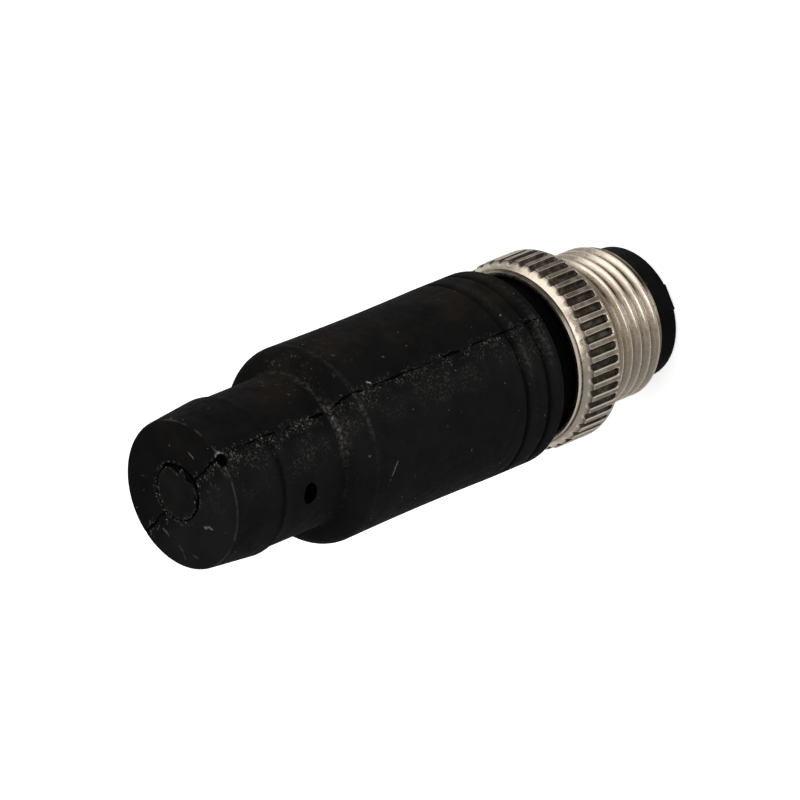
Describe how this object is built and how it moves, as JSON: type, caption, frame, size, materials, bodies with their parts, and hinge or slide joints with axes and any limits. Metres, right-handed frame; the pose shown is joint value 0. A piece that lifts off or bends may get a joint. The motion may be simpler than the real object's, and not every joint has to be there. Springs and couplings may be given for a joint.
{
  "type": "moulded m12 terminating plug",
  "caption": "Male circular M12 plug with moulded grip, knurled coupling screw, coded socket of pin contacts and a sealed resistor, without cable.",
  "frame": {"origin": "centre of the mating rim's face, which is the lowest face", "axes": "+Z along the plug's axis, from the mating rim to the rear face"},
  "size_m": [0.015, 0.015, 0.0472],
  "materials": {
    "black_moulding": "satin",
    "blank_plastic": "satin",
    "carrier_plastic": "satin",
    "gilt_brass": "polished",
    "nickel": "polished",
    "resistor_coat": "gloss",
    "tinned_wire": "satin",
    "solder": "satin"
  },
  "bodies": {
    "plug": {"moulded_body": "black_moulding", "cable_blank": "blank_plastic", "contact_carrier": "carrier_plastic", "pin_1": "gilt_brass", "pin_2": "gilt_brass", "pin_3": "gilt_brass", "pin_4": "gilt_brass", "pin_5": "gilt_brass", "resistor_body": "resistor_coat", "resistor_lead_a": "tinned_wire", "resistor_lead_b": "tinned_wire", "solder_joint_a": "solder", "solder_joint_b": "solder"},
    "coupling": {"coupling_screw": "nickel"}
  },
  "joints": [
    {"name": "coupling_screw_turn", "type": "hinge", "parent": "plug", "child": "coupling", "pos_m": [0, 0, 0.006], "axis": [0, 0, 1], "continuous": true}
  ]
}
